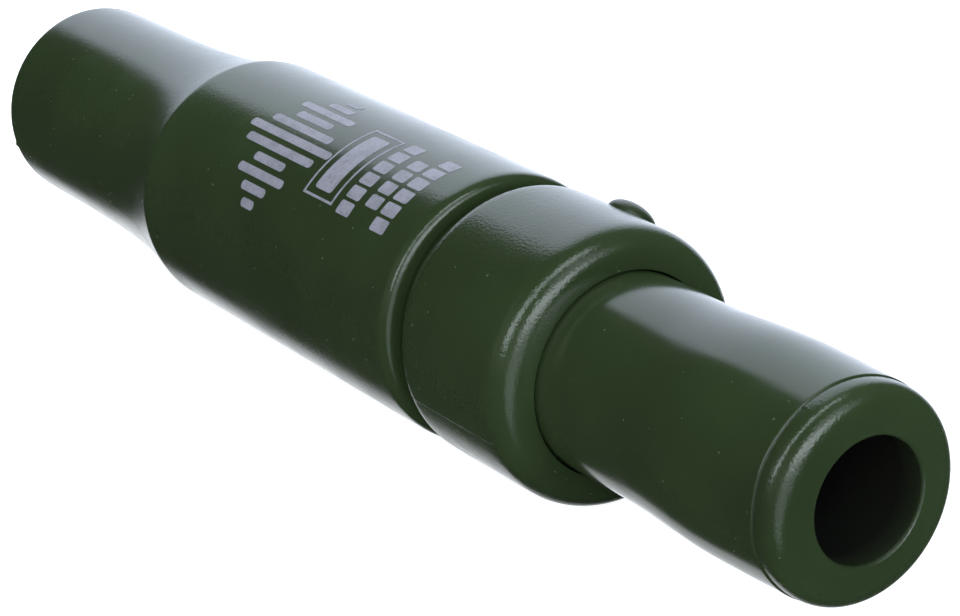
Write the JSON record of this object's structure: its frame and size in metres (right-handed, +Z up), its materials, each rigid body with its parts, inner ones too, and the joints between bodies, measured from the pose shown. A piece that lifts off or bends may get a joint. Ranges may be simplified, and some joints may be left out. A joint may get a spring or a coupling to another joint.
{
  "type": "tube game call",
  "caption": "Hand-held closed-reed game call: a barrel with a tapered horn end and a pull-out head with collar, mouthpiece tube and sprung tone button.",
  "frame": {"origin": "middle of the footprint: half way along the call, under its axis, on the plane it lies on", "axes": "+X along the axis of the call towards the mouthpiece, +Z up with the call lying down; the tone button leans 38 degrees from +Z towards +Y"},
  "size_m": [0.166, 0.032, 0.032],
  "materials": {
    "barrel_plastic": "semi-gloss dark olive green, moulded",
    "head_plastic": "semi-gloss dark olive green, moulded",
    "mouthpiece_plastic": "semi-gloss dark olive green, moulded",
    "button_plastic": "semi-gloss dark olive green, moulded",
    "seal_rubber": "black nitrile, lightly greased",
    "pad_rubber": "matt soft rubber",
    "board_plastic": "black moulded plastic, satin",
    "reed_film": "translucent polyester film, satin",
    "wedge_cork": "cork, raw",
    "spring_steel": "bright spring wire",
    "clip_steel": "phosphated spring steel"
  },
  "bodies": {
    "barrel": {"barrel": "barrel_plastic"},
    "barrel_seals": {"barrel_oring_front": "seal_rubber", "barrel_oring_rear": "seal_rubber"},
    "head": {"collar": "head_plastic", "reed_carrier": "head_plastic", "tone_board": "board_plastic", "reed_wedge": "wedge_cork", "button_spring": "spring_steel", "button_seal": "seal_rubber"},
    "mouthpiece_seal": {"mouthpiece_oring": "seal_rubber"},
    "mouthpiece": {"mouthpiece_tube": "mouthpiece_plastic"},
    "tone_button": {"tone_button": "button_plastic", "button_retainer": "clip_steel", "tone_pad": "pad_rubber"},
    "reed": {"reed": "reed_film"}
  },
  "joints": [
    {"name": "head_pull", "type": "slide", "parent": "barrel", "child": "barrel_seals", "axis": [1, 0, 0], "range_m": [0, 0.0199]},
    {"name": "head_twist", "type": "hinge", "parent": "barrel_seals", "child": "head", "pos_m": [0, 0, 0.016], "axis": [1, 0, 0], "continuous": true},
    {"name": "mouthpiece_pull", "type": "slide", "parent": "head", "child": "mouthpiece_seal", "axis": [1, 0, 0], "range_m": [0, 0.0067]},
    {"name": "mouthpiece_twist", "type": "hinge", "parent": "mouthpiece_seal", "child": "mouthpiece", "pos_m": [0, 0, 0.016], "axis": [1, 0, 0], "continuous": true},
    {"name": "tone_button_press", "type": "slide", "parent": "head", "child": "tone_button", "axis": [0, -0.6157, -0.788], "range_m": [0, 0.0012], "stiffness_N_per_m": 160, "springref_m": -0.0015, "deforming": ["button_spring"]},
    {"name": "reed_flex", "type": "hinge", "parent": "head", "child": "reed", "pos_m": [0.026, 0.00041, 0.01652], "axis": [0, 0.788, -0.6157], "range_deg": [-2.3, 2.3], "stiffness_Nm_per_rad": 0.004, "deforming": ["reed"]}
  ]
}
